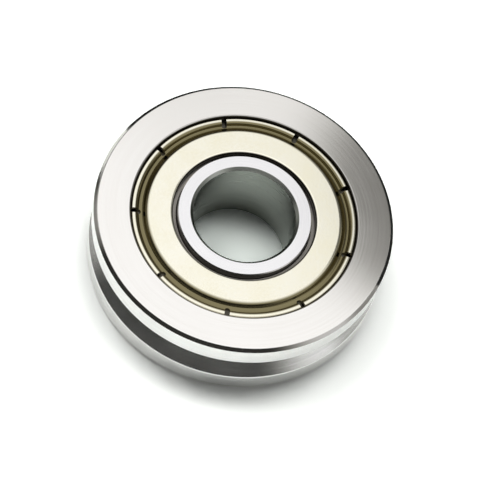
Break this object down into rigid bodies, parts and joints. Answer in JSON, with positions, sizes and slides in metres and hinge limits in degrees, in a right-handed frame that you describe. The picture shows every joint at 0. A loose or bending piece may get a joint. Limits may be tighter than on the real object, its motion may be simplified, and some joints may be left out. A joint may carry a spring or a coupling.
{
  "type": "v groove wheel",
  "caption": "Steel V groove wheel on its own shielded ball bearing, with a plain bore for an axle; runs along a V edge rail or a round rod.",
  "frame": {"origin": "middle of the wheel: on the axle's line, halfway between the side faces", "axes": "+Z along the axle, square to the side faces; the wheel lies on its lower side face"},
  "size_m": [0.035, 0.035, 0.01],
  "materials": {
    "ground_steel": "hardened bearing steel, ground",
    "ball_steel": "hardened bearing steel, lapped bright",
    "cage_steel": "pressed mild steel strip, tumbled",
    "shield_steel": "pressed steel sheet, pale straw passivated zinc plate"
  },
  "bodies": {
    "inner": {"inner_ring": "ground_steel"},
    "wheel": {"outer_ring": "ground_steel", "shield_upper": "shield_steel", "shield_lower": "shield_steel"},
    "cage": {"cage_upper": "cage_steel", "cage_lower": "cage_steel", "cage_rivets": "ball_steel"},
    "ball_1_body": {"ball_1": "ball_steel"},
    "ball_2_body": {"ball_2": "ball_steel"},
    "ball_3_body": {"ball_3": "ball_steel"},
    "ball_4_body": {"ball_4": "ball_steel"},
    "ball_5_body": {"ball_5": "ball_steel"},
    "ball_6_body": {"ball_6": "ball_steel"},
    "ball_7_body": {"ball_7": "ball_steel"},
    "ball_8_body": {"ball_8": "ball_steel"}
  },
  "joints": [
    {"name": "wheel_spin", "type": "hinge", "parent": "inner", "child": "wheel", "pos_m": [0, 0, 0], "axis": [0, 0, 1], "continuous": true},
    {"name": "cage_orbit", "type": "hinge", "parent": "inner", "child": "cage", "pos_m": [0, 0, 0], "axis": [0, 0, 1], "continuous": true},
    {"name": "ball_1_spin", "type": "hinge", "parent": "cage", "child": "ball_1_body", "pos_m": [0.00721, 0.00721, 0], "axis": [0, 0, 1], "continuous": true},
    {"name": "ball_2_spin", "type": "hinge", "parent": "cage", "child": "ball_2_body", "pos_m": [0, 0.0102, 0], "axis": [0, 0, 1], "continuous": true},
    {"name": "ball_3_spin", "type": "hinge", "parent": "cage", "child": "ball_3_body", "pos_m": [-0.00721, 0.00721, 0], "axis": [0, 0, 1], "continuous": true},
    {"name": "ball_4_spin", "type": "hinge", "parent": "cage", "child": "ball_4_body", "pos_m": [-0.0102, 0, 0], "axis": [0, 0, 1], "continuous": true},
    {"name": "ball_5_spin", "type": "hinge", "parent": "cage", "child": "ball_5_body", "pos_m": [-0.00721, -0.00721, 0], "axis": [0, 0, 1], "continuous": true},
    {"name": "ball_6_spin", "type": "hinge", "parent": "cage", "child": "ball_6_body", "pos_m": [0, -0.0102, 0], "axis": [0, 0, 1], "continuous": true},
    {"name": "ball_7_spin", "type": "hinge", "parent": "cage", "child": "ball_7_body", "pos_m": [0.00721, -0.00721, 0], "axis": [0, 0, 1], "continuous": true},
    {"name": "ball_8_spin", "type": "hinge", "parent": "cage", "child": "ball_8_body", "pos_m": [0.0102, 0, 0], "axis": [0, 0, 1], "continuous": true}
  ],
  "couplings": [
    {"joint": "cage_orbit", "follows": "wheel_spin", "ratio": 0.61673},
    {"joint": "ball_1_spin", "follows": "wheel_spin", "ratio": 2.025},
    {"joint": "ball_2_spin", "follows": "wheel_spin", "ratio": 2.025},
    {"joint": "ball_3_spin", "follows": "wheel_spin", "ratio": 2.025},
    {"joint": "ball_4_spin", "follows": "wheel_spin", "ratio": 2.025},
    {"joint": "ball_5_spin", "follows": "wheel_spin", "ratio": 2.025},
    {"joint": "ball_6_spin", "follows": "wheel_spin", "ratio": 2.025},
    {"joint": "ball_7_spin", "follows": "wheel_spin", "ratio": 2.025},
    {"joint": "ball_8_spin", "follows": "wheel_spin", "ratio": 2.025}
  ]
}
